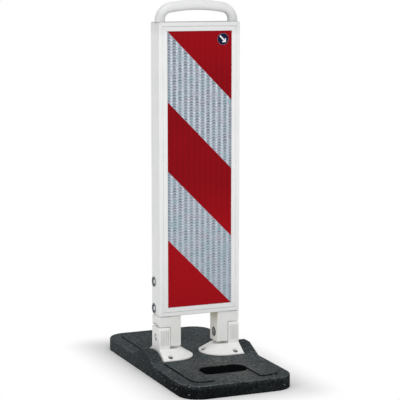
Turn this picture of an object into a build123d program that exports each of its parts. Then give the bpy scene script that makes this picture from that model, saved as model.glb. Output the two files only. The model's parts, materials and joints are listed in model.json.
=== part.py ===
from build123d import *
import os
from math import ceil, hypot, sqrt

# Folding guide beacon: a striped board in a white frame with a carrying handle. Two moulded legs
# hang the frame on hinge feet, and the feet are screwed to one heavy base.
# Millimetres, +Z up. X runs along the width of the board and the front faces -Y.
# The origin is on the ground, under the middle of the base.

# Board and film
FILM_WIDTH = 250
FILM_HEIGHT = 1000
STRIPE_PITCH = FILM_WIDTH
FILM_THICKNESS = 0.5
FILM_PLAY = 0.3
BOARD_THICKNESS = 4
BOARD_OVERLAP = 4
BOARD_PLAY = 1.5
STICKER_DIAMETER = 43
STICKER_THICKNESS = 0.3
STICKER_SIDE = 34.5
STICKER_DROP = 30

# Frame of hollow profile, with clip-in beads on both faces
FRAME_FACE = 32
FRAME_DEPTH = 83
FRAME_WALL = 3
FRAME_CORNER = 6
FRAME_EDGE = 3
BEAD_SEAT = 15
BEAD_LIP = 3
BEAD_SEAM = 0.3
BEAD_BEVEL = 1
KEY_ARM = 70
KEY_PLAY = 0.4
BRACE_HEIGHT = 30
BRACE_COUNT = 2

# Handle arch on the top rail
HANDLE_RISE = 78
HANDLE_PROUD = 2
HANDLE_FORWARD = 8
HANDLE_GRIP = 36
HANDLE_LEG = 36
HANDLE_DEPTH = 36
HANDLE_CROWN = 21
HANDLE_SHOULDER = 68
HANDLE_INNER_CORNER = 24
HANDLE_ROUND = 16
SPIGOT_DIAMETER = 16
SPIGOT_LENGTH = 45

# Legs and hinge
PIVOT_HEIGHT = 74
LEG_RISE = 82.5
LEG_PROUD = 1.5
LEG_DEPTH = 70
LEG_EDGE = 1.5
TONGUE_THICKNESS = 41.5
TONGUE_DROP = 33
TONGUE_SHOULDER = 6
TANG_LENGTH = 160
COLLAR_LIFT = 1.5
COLLAR_RELIEF = 3
COLLAR_CORNER = 8
HINGE_GAP = 1.5
EAR_THICKNESS = 42.5
EAR_DEPTH = 76
EAR_RISE = 40
EAR_SHOULDER = 8
EAR_EDGE = 2.5
RIB_COUNT = 5
RIB_PITCH = 6.5
RIB_GROOVE = 2.5
RIB_DEPTH = 1.5
RIB_BAND = 26
SKIRT_RISE = 33
SKIRT_EDGE = 4
SKIRT_SIDE = 2
SKIRT_REACH = 47
SKIRT_TIP = 30.5
FOOT_HOLE_EDGE = 14
FOOT_HOLE_SIDE = 30
FOOT_SEAT = 5

# Pivot hardware
PIVOT_DIAMETER = 12
PIVOT_HEAD_DIAMETER = 24
PIVOT_HEAD_HEIGHT = 6
PIVOT_HEAD_POCKET = 26
PIVOT_HEAD_SINK = 5
PIVOT_NECK = 8
PIVOT_WASHER_DIAMETER = 25
PIVOT_WASHER_THICKNESS = 2.5
PIVOT_NUT_FLATS = 19
PIVOT_NUT_HEIGHT = 10.5
PIVOT_NUT_POCKET = 36
PIVOT_END = 1.5
SPRING_DIAMETER = 28
SPRING_HEIGHT = 3
SPRING_SHEET = 1.5
SPRING_COUNT = 2
BUSH_DIAMETER = 18
DISC_MARGIN = 3

# Bolts that hold each leg in its post
SIDE_BOLT_DIAMETER = 10
SIDE_BOLT_BACK = 19
SIDE_BOLT_LOW = 22
SIDE_BOLT_PITCH = 99
SIDE_HEAD_FLATS = 16
SIDE_HEAD_HEIGHT = 6.4
SIDE_WASHER_DIAMETER = 20
SIDE_WASHER_THICKNESS = 2
SIDE_NUT_HEIGHT = 8
SIDE_NUT_SINK = 0.4
CUP_DIAMETER = 34
CUP_WALL = 2.5
CUP_LIP = 2
CUP_LIP_THICKNESS = 1.5
CUP_DEPTH = 11.5

# Foot screws
SCREW_DIAMETER = 8
SCREW_LENGTH = 34
SCREW_HEAD_FLATS = 13
SCREW_HEAD_HEIGHT = 5.3
SCREW_WASHER_DIAMETER = 16
SCREW_WASHER_THICKNESS = 1.6
SCREW_POCKET = 18
INSERT_DIAMETER = 14
INSERT_LENGTH = 30

# Base: one heavy moulding with a raised deck, a hand slot at the front and a kerb at each side
BASE_LENGTH = 842
BASE_RIM = 48
BASE_CORNER = 76
BASE_EDGE = 6
DECK_RISE = 4
DECK_SIDE = 45
DECK_END = 39
DECK_CORNER = 40
DECK_EDGE = 2
DECK_NOTCH = 9
SLOT_END = 129
SLOT_WIDTH = 172
SLOT_ROUND = 42
SLOT_DEPTH = 86
SLOT_CORNER = 30
KERB_GAP = 2.5
KERB_WIDTH = 47.5
KERB_RISE = 32
KERB_TOP = 44
KERB_RUN = 78
KERB_EDGE = 3
KERB_ROUND = 10

# Clearances: a pin that turns, flat faces that rub, corners that swing past, and parts that stay together
RUN_FIT = 0.05
RUB_GAP = 0.2
SWING_GAP = 1.5
FIT = 0.1
BOLT_PLAY = 0.4

# Places worked out from the sizes above
deck_top = BASE_RIM + DECK_RISE
pivot_z = deck_top + PIVOT_HEIGHT
frame_bottom = pivot_z + LEG_RISE
frame_width = FILM_WIDTH + 2 * FRAME_FACE
frame_height = FILM_HEIGHT + 2 * FRAME_FACE
frame_top = frame_bottom + frame_height
frame_middle = frame_bottom + frame_height / 2
frame_half = frame_width / 2
depth_half = FRAME_DEPTH / 2
board_face = depth_half - BEAD_LIP
ledge_half = board_face - BOARD_THICKNESS
film_bottom = frame_bottom + FRAME_FACE
film_top = frame_top - FRAME_FACE

leg_outer = frame_half + LEG_PROUD
leg_half = LEG_DEPTH / 2
ear_in = leg_outer - EAR_THICKNESS
ear_half = EAR_DEPTH / 2
ear_swing = hypot(ear_half - EAR_SHOULDER, EAR_RISE - EAR_SHOULDER) + EAR_SHOULDER
tongue_out = ear_in - HINGE_GAP
tongue_in = tongue_out - TONGUE_THICKNESS
tongue_swing = hypot(leg_half - TONGUE_SHOULDER, TONGUE_DROP - TONGUE_SHOULDER) + TONGUE_SHOULDER
collar_bottom = pivot_z + max(EAR_RISE, ear_half) + COLLAR_LIFT
collar_top = frame_bottom - COLLAR_RELIEF
tang_out = frame_half - FRAME_WALL - KEY_PLAY
tang_in = frame_half - FRAME_FACE + FRAME_WALL + KEY_PLAY
tang_half = ledge_half - FRAME_WALL - KEY_PLAY
tang_top = frame_bottom + TANG_LENGTH
spigot_x = frame_half - FRAME_FACE / 2
handle_half = frame_half + HANDLE_PROUD

skirt_top = deck_top + SKIRT_RISE
skirt_low = deck_top + SKIRT_EDGE
skirt_radius = ear_half + SKIRT_REACH
skirt_centre = tongue_in + SKIRT_TIP
skirt_out = leg_outer + SKIRT_SIDE
foot_seat = deck_top + FOOT_SEAT
foot_holes = [
    (leg_outer - FOOT_HOLE_SIDE, FOOT_HOLE_EDGE - skirt_radius),
    (leg_outer - FOOT_HOLE_SIDE, skirt_radius - FOOT_HOLE_EDGE),
    (skirt_centre - skirt_radius + FOOT_HOLE_EDGE, 0),
]

head_seat = leg_outer - PIVOT_HEAD_SINK
spring_stack = SPRING_COUNT * SPRING_HEIGHT
nut_pocket = RUB_GAP + PIVOT_WASHER_THICKNESS + spring_stack + PIVOT_NUT_HEIGHT
nut_seat = tongue_in + nut_pocket
side_bolt_places = [frame_bottom + SIDE_BOLT_LOW + step * SIDE_BOLT_PITCH for step in range(2)]
cup_bottom = frame_half - CUP_DEPTH
cup_floor = cup_bottom + CUP_WALL

base_half = skirt_out + KERB_GAP + KERB_WIDTH
base_end = BASE_LENGTH / 2
deck_half = base_half - DECK_SIDE
deck_end = base_end - DECK_END
slot_edge = base_end - SLOT_END
slot_half = SLOT_WIDTH / 2


def block(x, y, z):
    """Box from three (low, high) ranges."""
    middle = [(low + high) / 2 for low, high in (x, y, z)]
    size = [high - low for low, high in (x, y, z)]
    return Pos(*middle) * Box(*size)


def rod_x(diameter, x, y, z):
    """Cylinder along X over the range x."""
    return Pos((x[0] + x[1]) / 2, y, z) * Rot(0, 90, 0) * Cylinder(diameter / 2, x[1] - x[0])


def rod_z(diameter, x, y, z):
    """Upright cylinder over the range z."""
    return Pos(x, y, (z[0] + z[1]) / 2) * Cylinder(diameter / 2, z[1] - z[0])


def hexagon_x(flats, x, y, z):
    """Hexagon prism along X over the range x."""
    face = RegularPolygon(flats / 2, 6, major_radius=False)
    return Pos(x[0], y, z) * extrude(Plane.YZ * face, x[1] - x[0])


def hexagon_z(flats, x, y, z):
    """Upright hexagon prism over the range z."""
    face = RegularPolygon(flats / 2, 6, major_radius=False)
    return Pos(x, y, z[0]) * extrude(face, z[1] - z[0])


def slab_y(face, y):
    """Face drawn as (x, z), made solid over the range y."""
    return Pos(0, y[1], 0) * extrude(Plane.XZ * face, y[1] - y[0])


def slab_x(face, x):
    """Face drawn as (y, z), made solid over the range x."""
    return Pos(x[0], 0, 0) * extrude(Plane.YZ * face, x[1] - x[0])


def outline(*points):
    """Flat face from its corner points."""
    return make_face(Polyline(*points, close=True))


def mirrored(shape):
    """The same piece on the left side."""
    return mirror(shape, about=Plane.YZ)


def flipped(shape):
    """The same piece on the back."""
    return mirror(shape, about=Plane.XZ)


def both_sides(shapes):
    """Right-hand pieces together with their left-hand twins."""
    return list(shapes) + [mirrored(shape) for shape in shapes]


# Base plate


def hand_slot_face():
    """Slot with a straight outer edge and a rounded inner edge, at the front end."""
    face = Pos(0, SLOT_DEPTH / 2 - slot_edge) * Rectangle(SLOT_WIDTH, SLOT_DEPTH)
    face = fillet(face.vertices().group_by(Axis.Y)[-1], SLOT_ROUND)
    return fillet(face.vertices().group_by(Axis.Y)[0], SLOT_CORNER)


def kerb():
    """Ramped block beside the right foot, flush with the side of the base."""
    top = BASE_RIM + KERB_RISE
    sunk = BASE_RIM - BASE_EDGE
    flat = KERB_TOP / 2
    run = flat + KERB_RUN
    face = outline((-run, sunk), (-run, BASE_RIM), (-flat, top), (flat, top), (run, BASE_RIM), (run, sunk))
    face = fillet(face.vertices().group_by(Axis.Y)[-1], KERB_ROUND)
    shape = slab_x(face, (base_half - KERB_WIDTH, base_half))
    rims = shape.faces().filter_by(Axis.X).edges()
    return fillet([edge for edge in rims if edge.center().Z > BASE_RIM], KERB_EDGE)


def deck_face():
    """Raised deck seen from above, open at the front as far as the hand slot."""
    slot = hand_slot_face()
    reach = base_end - slot_edge + SLOT_DEPTH / 2
    gate = Pos(0, reach / 2 - base_end) * Rectangle(SLOT_WIDTH, reach)
    face = RectangleRounded(2 * deck_half, 2 * deck_end, DECK_CORNER) - (slot + gate)
    inside = [corner for corner in face.vertices() if abs(corner.X) < slot_half + FIT]
    corners = [corner for corner in inside if corner.Y < FIT - deck_end]
    return fillet(corners, DECK_NOTCH)


def base_plate():
    """Rubber base with its deck, slot, kerbs and the blind holes for the inserts."""
    rim = extrude(RectangleRounded(2 * base_half, BASE_LENGTH, BASE_CORNER), BASE_RIM)
    rim = fillet(rim.faces().sort_by(Axis.Z)[-1].edges(), BASE_EDGE)
    slot = extrude(hand_slot_face(), BASE_RIM)
    deck = extrude(deck_face(), deck_top)
    deck = chamfer(deck.faces().sort_by(Axis.Z)[-1].edges(), DECK_EDGE)
    shape = rim - slot + deck
    shape += both_sides([kerb()])
    well = (deck_top - INSERT_LENGTH - FIT, deck_top)
    wells = [rod_z(INSERT_DIAMETER + 2 * FIT, x, y, well) for x, y in foot_holes]
    return shape - both_sides(wells)


# Hinge feet


def pivot_square(side, x):
    """Square bar round the pivot axis over the range x."""
    return Pos((x[0] + x[1]) / 2, 0, pivot_z) * Box(x[1] - x[0], side, side)


def ear_face(inset):
    """Side view of the upright ear, drawn smaller by inset: a flat top with rounded shoulders."""
    top = pivot_z + EAR_RISE - inset
    face = Pos(0, (deck_top + top) / 2) * Rectangle(EAR_DEPTH - 2 * inset, top - deck_top)
    return fillet(face.vertices().group_by(Axis.Y)[-1], EAR_SHOULDER - inset)


def ear_grooves():
    """Upright grooves between the ribs on the front and back of the ear."""
    ear_middle = ear_in + EAR_THICKNESS / 2
    skin = ear_face(0) - ear_face(RIB_DEPTH)
    skin &= Pos(0, pivot_z) * Rectangle(EAR_DEPTH, 2 * RIB_BAND)
    centres = [ear_middle + (step - (RIB_COUNT - 1) / 2) * RIB_PITCH for step in range(RIB_COUNT)]
    return [slab_x(skin, (centre - RIB_GROOVE / 2, centre + RIB_GROOVE / 2)) for centre in centres]


def skirt():
    """Flared flange: a half cone at the inner end that runs out into sloped front and back faces."""
    edge = rod_z(2 * skirt_radius, skirt_centre, 0, (deck_top, skirt_low))
    edge += block((skirt_centre, skirt_out), (-skirt_radius, skirt_radius), (deck_top, skirt_low))
    height = skirt_top - skirt_low
    slope = Pos(skirt_centre, 0, skirt_low + height / 2) * Cone(skirt_radius, ear_half, height)
    slope &= block((0, skirt_centre), (-skirt_radius, skirt_radius), (skirt_low, skirt_top))
    ramp = outline(
        (-skirt_radius, skirt_low), (skirt_radius, skirt_low), (ear_half, skirt_top), (-ear_half, skirt_top)
    )
    shape = edge + slope + slab_x(ramp, (skirt_centre, leg_outer))
    return shape & block((0, skirt_out), (-skirt_radius, skirt_radius), (deck_top, skirt_top))


def foot():
    """Right hinge foot: skirt with a saddle under the tongue, ribbed ear, pivot hole and screw pockets."""
    ear = slab_x(ear_face(0), (ear_in, leg_outer))
    rims = ear.faces().filter_by(Axis.X).edges()
    ear = fillet([edge for edge in rims if edge.center().Z > skirt_top], EAR_EDGE)
    saddle = rod_x(2 * (tongue_swing + SWING_GAP), (0, ear_in), 0, pivot_z)
    shape = skirt() - saddle + ear - ear_grooves()
    shape -= rod_x(PIVOT_HEAD_POCKET, (head_seat, leg_outer), 0, pivot_z)
    shape -= rod_x(PIVOT_DIAMETER + BOLT_PLAY, (ear_in, leg_outer), 0, pivot_z)
    shape -= pivot_square(PIVOT_DIAMETER + BOLT_PLAY, (head_seat - PIVOT_NECK, head_seat))
    for x, y in foot_holes:
        shape -= rod_z(SCREW_POCKET, x, y, (foot_seat, skirt_top))
        shape -= rod_z(SCREW_DIAMETER + BOLT_PLAY, x, y, (deck_top, skirt_top))
    return shape


def foot_hardware():
    """Screws, washers and threaded inserts that hold the right foot to the base."""
    head_low = foot_seat + SCREW_WASHER_THICKNESS
    screws, washers, inserts = [], [], []
    for x, y in foot_holes:
        shank = rod_z(SCREW_DIAMETER, x, y, (head_low - SCREW_LENGTH, head_low))
        screws.append(shank + hexagon_z(SCREW_HEAD_FLATS, x, y, (head_low, head_low + SCREW_HEAD_HEIGHT)))
        bore = rod_z(SCREW_DIAMETER + 2 * FIT, x, y, (0, head_low))
        washers.append(rod_z(SCREW_WASHER_DIAMETER, x, y, (foot_seat, head_low)) - bore)
        inserts.append(rod_z(INSERT_DIAMETER, x, y, (deck_top - INSERT_LENGTH, deck_top)) - bore)
    return screws, washers, inserts


# Legs


def tongue():
    """Inner half of the leg: an upright bar with rounded lower corners and a crisp face at the hinge."""
    low = pivot_z - TONGUE_DROP
    face = Pos(0, (low + frame_bottom) / 2) * Rectangle(LEG_DEPTH, frame_bottom - low)
    face = fillet(face.vertices().group_by(Axis.Y)[0], TONGUE_SHOULDER)
    shape = slab_x(face, (tongue_in, tongue_out))
    rims = shape.faces().sort_by(Axis.X)[0].edges()
    return fillet([edge for edge in rims if edge.center().Z < frame_bottom - FIT], LEG_EDGE)


def collar():
    """Outer half of the leg: a block flush with the tongue, hollowed to swing past the corners of the ear.

    Its lower edge clears the top of the ear when the board stands, and the ear's face when it lies.
    """
    face = outline(
        (tongue_out, collar_bottom),
        (leg_outer, collar_bottom),
        (leg_outer, collar_top),
        (tongue_out, collar_top),
    )
    face = fillet(face.vertices().group_by(Axis.Y)[0].sort_by(Axis.X)[-1], COLLAR_CORNER)
    shape = slab_y(face, (-leg_half, leg_half))
    rims = shape.faces().filter_by(Axis.Y).edges()
    shape = fillet([edge for edge in rims if edge.center().X > tongue_out + FIT], LEG_EDGE)
    return shape - rod_x(2 * (ear_swing + SWING_GAP), (tongue_out, leg_outer), 0, pivot_z)


def leg():
    """Right leg: tongue on the pivot, collar beside it and tang in the post."""
    tang = block((tang_in, tang_out), (-tang_half, tang_half), (collar_top, tang_top))
    shape = tongue() + collar() + tang
    shape -= rod_x(PIVOT_NUT_POCKET, (tongue_in, nut_seat), 0, pivot_z)
    shape -= rod_x(BUSH_DIAMETER + 2 * FIT, (nut_seat, tongue_out), 0, pivot_z)
    for z in side_bolt_places:
        shape -= rod_x(CUP_DIAMETER + 2 * FIT, (cup_bottom, tang_out), SIDE_BOLT_BACK, z)
        shape -= rod_x(SIDE_BOLT_DIAMETER + BOLT_PLAY, (tang_in, cup_bottom), SIDE_BOLT_BACK, z)
        pocket = (tang_in, tang_in + SIDE_NUT_SINK + SIDE_NUT_HEIGHT)
        shape -= hexagon_x(SIDE_HEAD_FLATS + 2 * FIT, pocket, SIDE_BOLT_BACK, z)
    return shape


def disc_spring(x, rim_first):
    """Dished spring washer over SPRING_HEIGHT from x, its rim at the low or the high end."""
    near, far = (SPRING_DIAMETER / 2, PIVOT_DIAMETER / 2 + FIT)
    if not rim_first:
        near, far = far, near
    face = outline(
        (x, pivot_z + near),
        (x + SPRING_SHEET, pivot_z + near),
        (x + SPRING_HEIGHT, pivot_z + far),
        (x + SPRING_HEIGHT - SPRING_SHEET, pivot_z + far),
    )
    return revolve(Plane.XZ * face, Axis((0, 0, pivot_z), (1, 0, 0)))


def pivot_bolt():
    """Bolt with a domed head in the ear, a square neck that stops it turning and a round shank."""
    rim = (head_seat, pivot_z + PIVOT_HEAD_DIAMETER / 2)
    crown = (head_seat + PIVOT_HEAD_HEIGHT, pivot_z)
    dome = make_face(Polyline(rim, (head_seat, pivot_z), crown) + TangentArc(crown, rim, tangent=(0, 1)))
    head = revolve(Plane.XZ * dome, Axis((0, 0, pivot_z), (1, 0, 0)))
    neck = pivot_square(PIVOT_DIAMETER, (head_seat - PIVOT_NECK, head_seat))
    return head + neck + rod_x(PIVOT_DIAMETER, (tongue_in - PIVOT_END, head_seat), 0, pivot_z)


def pivot_hardware():
    """Pieces of the right pivot by name, from the bolt inward."""
    bore = rod_x(PIVOT_DIAMETER + 2 * FIT, (0, leg_outer), 0, pivot_z)
    disc_diameter = 2 * (TONGUE_DROP - DISC_MARGIN)
    washer_high = nut_seat - RUB_GAP
    washer_low = washer_high - PIVOT_WASHER_THICKNESS
    springs_low = washer_low - spring_stack
    springs = [disc_spring(springs_low + step * SPRING_HEIGHT, step % 2 == 1) for step in range(SPRING_COUNT)]
    nut = hexagon_x(PIVOT_NUT_FLATS, (springs_low - PIVOT_NUT_HEIGHT, springs_low), 0, pivot_z)
    bush = rod_x(BUSH_DIAMETER, (nut_seat, tongue_out), 0, pivot_z)
    return {
        "pivot_bolts": [pivot_bolt()],
        "friction_discs": [rod_x(disc_diameter, (tongue_out + RUB_GAP, ear_in), 0, pivot_z) - bore],
        "pivot_bushes": [bush - rod_x(PIVOT_DIAMETER + 2 * RUN_FIT, (nut_seat, tongue_out), 0, pivot_z)],
        "pivot_nut_washers": [rod_x(PIVOT_WASHER_DIAMETER, (washer_low, washer_high), 0, pivot_z) - bore],
        "pivot_springs": springs,
        "pivot_nuts": [nut - bore],
    }


def side_hardware():
    """Pieces of the right post's two leg bolts by name, from the cup inward."""
    pieces = {"side_cups": [], "side_washers": [], "side_bolts": [], "side_nuts": []}
    washer_high = cup_floor + SIDE_WASHER_THICKNESS
    head_high = washer_high + SIDE_HEAD_HEIGHT
    lip_high = frame_half + CUP_LIP_THICKNESS
    nut_low = tang_in + SIDE_NUT_SINK
    nut_high = nut_low + SIDE_NUT_HEIGHT
    for z in side_bolt_places:
        at = (SIDE_BOLT_BACK, z)
        bore = rod_x(SIDE_BOLT_DIAMETER + 2 * FIT, (0, lip_high), *at)
        cup = rod_x(CUP_DIAMETER, (cup_bottom, frame_half), *at)
        cup += rod_x(CUP_DIAMETER + 2 * CUP_LIP, (frame_half, lip_high), *at)
        cup -= rod_x(CUP_DIAMETER - 2 * CUP_WALL, (cup_floor, lip_high), *at)
        bolt = rod_x(SIDE_BOLT_DIAMETER, (nut_low, washer_high), *at)
        bolt += hexagon_x(SIDE_HEAD_FLATS, (washer_high, head_high), *at)
        pieces["side_cups"].append(cup - bore)
        pieces["side_washers"].append(rod_x(SIDE_WASHER_DIAMETER, (cup_floor, washer_high), *at) - bore)
        pieces["side_bolts"].append(bolt)
        pieces["side_nuts"].append(hexagon_x(SIDE_HEAD_FLATS, (nut_low, nut_high), *at) - bore)
    return pieces


# Frame


def profile_section():
    """Hollow profile drawn as (depth, distance inward), with a ledge for the board on each face."""
    rim = Pos(0, BEAD_SEAT / 2) * Rectangle(FRAME_DEPTH, BEAD_SEAT)
    rim = fillet(rim.vertices().group_by(Axis.Y)[0], FRAME_EDGE)
    rim = chamfer(rim.vertices().group_by(Axis.Y)[-1], BEAD_BEVEL)
    web = Pos(0, FRAME_FACE / 2) * Rectangle(2 * ledge_half, FRAME_FACE)
    rim_hollow = Pos(0, BEAD_SEAT / 2) * Rectangle(FRAME_DEPTH - 2 * FRAME_WALL, BEAD_SEAT - 2 * FRAME_WALL)
    web_inside = (2 * (ledge_half - FRAME_WALL), FRAME_FACE - 2 * FRAME_WALL)
    web_hollow = Pos(0, FRAME_FACE / 2) * Rectangle(*web_inside)
    return rim + web - rim_hollow - web_hollow


def bead_section():
    """Front bead drawn the same way: a lip over the edge of the board and a leg on the ledge."""
    start = BEAD_SEAT + BEAD_SEAM
    leg_end = FRAME_FACE - BOARD_OVERLAP - BOARD_PLAY
    face = outline(
        (-depth_half, start),
        (-depth_half, FRAME_FACE),
        (-board_face, FRAME_FACE),
        (-board_face, leg_end),
        (-ledge_half, leg_end),
        (-ledge_half, start),
    )
    return chamfer(face.vertices().group_by(Axis.X)[0], BEAD_BEVEL)


def mitred_bar(section, span):
    """Bar along X with its outer face at z = 0 and both ends cut at 45 degrees."""
    bar = slab_x(section, (-span / 2, span / 2))
    inner = span / 2 - FRAME_FACE
    mitre = outline((-span / 2, 0), (span / 2, 0), (inner, FRAME_FACE), (-inner, FRAME_FACE))
    return bar & slab_y(mitre, (-depth_half, depth_half))


def bars_round_frame(section):
    """One mitred bar for each side of the frame."""
    level = mitred_bar(section, frame_width)
    upright = mitred_bar(section, frame_height)
    return {
        "bottom": Pos(0, 0, frame_bottom) * level,
        "top": Pos(0, 0, frame_top) * Rot(0, 180, 0) * level,
        "left": Pos(-frame_half, 0, frame_middle) * Rot(0, 90, 0) * upright,
        "right": Pos(frame_half, 0, frame_middle) * Rot(0, -90, 0) * upright,
    }


def frame_pieces():
    """Posts and rails with rounded outer corners and their holes."""
    bars = bars_round_frame(profile_section())
    rounded = Pos(0, frame_middle) * RectangleRounded(frame_width, frame_height, FRAME_CORNER)
    whole = slab_y(rounded, (-depth_half, depth_half))
    wall = (frame_half - FRAME_WALL, frame_half)
    cup_holes = [rod_x(CUP_DIAMETER + 2 * FIT, wall, SIDE_BOLT_BACK, z) for z in side_bolt_places]
    tang_slot = block(
        (tang_in - KEY_PLAY, tang_out + KEY_PLAY),
        (-tang_half - KEY_PLAY, tang_half + KEY_PLAY),
        (frame_bottom, frame_bottom + FRAME_WALL),
    )
    top_wall = (frame_top - FRAME_WALL, frame_top)
    spigot_hole = rod_z(SPIGOT_DIAMETER + 2 * FIT, spigot_x, -HANDLE_FORWARD, top_wall)
    return {
        "post_left": (bars["left"] & whole) - [mirrored(hole) for hole in cup_holes],
        "post_right": (bars["right"] & whole) - cup_holes,
        "rail_bottom": (bars["bottom"] & whole) - both_sides([tang_slot]),
        "rail_top": (bars["top"] & whole) - both_sides([spigot_hole]),
    }


def bead_pieces():
    """The four front beads and the four back beads."""
    bars = bars_round_frame(bead_section())
    pieces = {f"bead_front_{side}": bar for side, bar in bars.items()}
    pieces.update({f"bead_back_{side}": flipped(bar) for side, bar in bars.items()})
    return pieces


def corner_key():
    """L-shaped key inside the top right corner, bored for the spigot of the handle."""
    top = frame_top - FRAME_WALL - KEY_PLAY
    arm_low = frame_top - FRAME_FACE + FRAME_WALL + KEY_PLAY
    face = outline(
        (tang_out, top),
        (tang_out, frame_top - KEY_ARM),
        (tang_in, frame_top - KEY_ARM),
        (tang_in, arm_low),
        (frame_half - KEY_ARM, arm_low),
        (frame_half - KEY_ARM, top),
    )
    shape = slab_y(face, (-tang_half, tang_half))
    bore = (frame_top - SPIGOT_LENGTH - FIT, top)
    return shape - rod_z(SPIGOT_DIAMETER + 2 * FIT, spigot_x, -HANDLE_FORWARD, bore)


def brace(step):
    """Hollow cross brace between the posts, which backs both boards."""
    middle = film_bottom + FILM_HEIGHT * step / (BRACE_COUNT + 1)
    half = BRACE_HEIGHT / 2
    reach = FILM_WIDTH / 2 - FIT
    shape = block((-reach, reach), (-ledge_half, ledge_half), (middle - half, middle + half))
    inside = ledge_half - FRAME_WALL
    low, high = middle - half + FRAME_WALL, middle + half - FRAME_WALL
    return shape - block((-reach, reach), (-inside, inside), (low, high))


def arch_face(half, top, crown):
    """Arch from the top rail up: straight sides at +-half and a crowned top edge."""
    base, shoulder = frame_top, frame_top + top - crown
    sides = Polyline((-half, shoulder), (-half, base), (half, base), (half, shoulder))
    return make_face(sides + ThreePointArc((half, shoulder), (0, frame_top + top), (-half, shoulder)))


def handle():
    """Carrying handle: a rounded arch with a spigot under each end."""
    crown_radius = (handle_half**2 + HANDLE_CROWN**2) / (2 * HANDLE_CROWN)
    inner_half = handle_half - HANDLE_LEG
    inner_radius = crown_radius - HANDLE_GRIP
    inner_crown = inner_radius - sqrt(inner_radius**2 - inner_half**2)
    outer = arch_face(handle_half, HANDLE_RISE, HANDLE_CROWN)
    outer = fillet(outer.vertices().group_by(Axis.Y)[-1], HANDLE_SHOULDER)
    gap = arch_face(inner_half, HANDLE_RISE - HANDLE_GRIP, inner_crown)
    gap = fillet(gap.vertices().group_by(Axis.Y)[-1], HANDLE_INNER_CORNER)
    shape = slab_y(outer - gap, (-HANDLE_DEPTH / 2, HANDLE_DEPTH / 2))
    rims = shape.faces().filter_by(Axis.Y).edges()
    seat = frame_top + FIT
    shape = fillet([edge for edge in rims if edge.center().Z > seat], HANDLE_ROUND)
    spigot = rod_z(SPIGOT_DIAMETER, spigot_x, 0, (frame_top - SPIGOT_LENGTH, frame_top))
    return Pos(0, -HANDLE_FORWARD, 0) * (shape + both_sides([spigot]))


# Board and film


def front_board():
    """Sheet behind the film, held under the lips of the beads."""
    half = FILM_WIDTH / 2 + BOARD_OVERLAP
    return block(
        (-half, half), (-board_face, -ledge_half), (film_bottom - BOARD_OVERLAP, film_top + BOARD_OVERLAP)
    )


def film_bands(first):
    """Front film of one colour: every second band, falling at 45 degrees from left to right."""
    half = FILM_WIDTH / 2
    window = Pos(0, (film_bottom + film_top) / 2)
    window *= Rectangle(FILM_WIDTH - 2 * FILM_PLAY, FILM_HEIGHT - 2 * FILM_PLAY)
    lowest = ceil(FILM_HEIGHT / STRIPE_PITCH)
    bands = []
    for step in range(first, lowest, 2):
        high = film_top - step * STRIPE_PITCH
        low = high - STRIPE_PITCH
        band = outline((-half, high), (half, high - FILM_WIDTH), (half, low - FILM_WIDTH), (-half, low))
        bands.append(slab_y(band & window, (-board_face - FILM_THICKNESS, -board_face)))
    return bands


def round_sticker():
    """Round sticker near the top right corner of the front film."""
    x = FILM_WIDTH / 2 - STICKER_SIDE
    face = Pos(x, film_top - STICKER_DROP) * Circle(STICKER_DIAMETER / 2)
    film_face = -board_face - FILM_THICKNESS
    return slab_y(face, (film_face - STICKER_THICKNESS, film_face))


# All nodes


def all_nodes():
    """Every piece or group of like pieces, by the name of its file."""
    right_foot = foot()
    right_leg = leg()
    screws, washers, inserts = foot_hardware()
    board = front_board()
    above = -ceil(FILM_WIDTH / STRIPE_PITCH)
    red = film_bands(above)
    white = film_bands(above + 1)
    nodes = {
        "base_plate": base_plate(),
        "foot_left": mirrored(right_foot),
        "foot_right": right_foot,
        "foot_screws": both_sides(screws),
        "foot_washers": both_sides(washers),
        "base_inserts": both_sides(inserts),
        "leg_left": mirrored(right_leg),
        "leg_right": right_leg,
        "corner_keys": both_sides([corner_key()]),
        "handle": handle(),
        "board_front": board,
        "board_back": flipped(board),
        "film_red_front": red,
        "film_red_back": [flipped(band) for band in red],
        "film_white_front": white,
        "film_white_back": [flipped(band) for band in white],
        "round_sticker": round_sticker(),
    }
    nodes.update({f"brace_{step}": brace(step) for step in range(1, BRACE_COUNT + 1)})
    nodes.update(frame_pieces())
    nodes.update(bead_pieces())
    for name, shapes in {**pivot_hardware(), **side_hardware()}.items():
        nodes[name] = both_sides(shapes)
    return nodes


os.makedirs("parts", exist_ok=True)
for name, shape in all_nodes().items():
    whole = Compound(children=list(shape)) if isinstance(shape, list) else shape
    export_step(whole, f"parts/{name}.step")
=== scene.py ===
# %% [markdown]
# # Folding guide beacon
# A striped retroreflective board stands in a white frame with a carrying handle. Two moulded legs
# hinge the frame to a heavy base of pressed granulate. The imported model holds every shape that
# carries load or moves, so this lesson gives those shapes their finish and makes the small pieces
# that a plain solid leaves out: chamfered screws, lock nuts and the print on the sticker.
# Everything is in metres, and the front of the board faces -Y.

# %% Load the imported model
import json
import math

import bmesh
import bpy
from mathutils import Matrix, Vector


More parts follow.
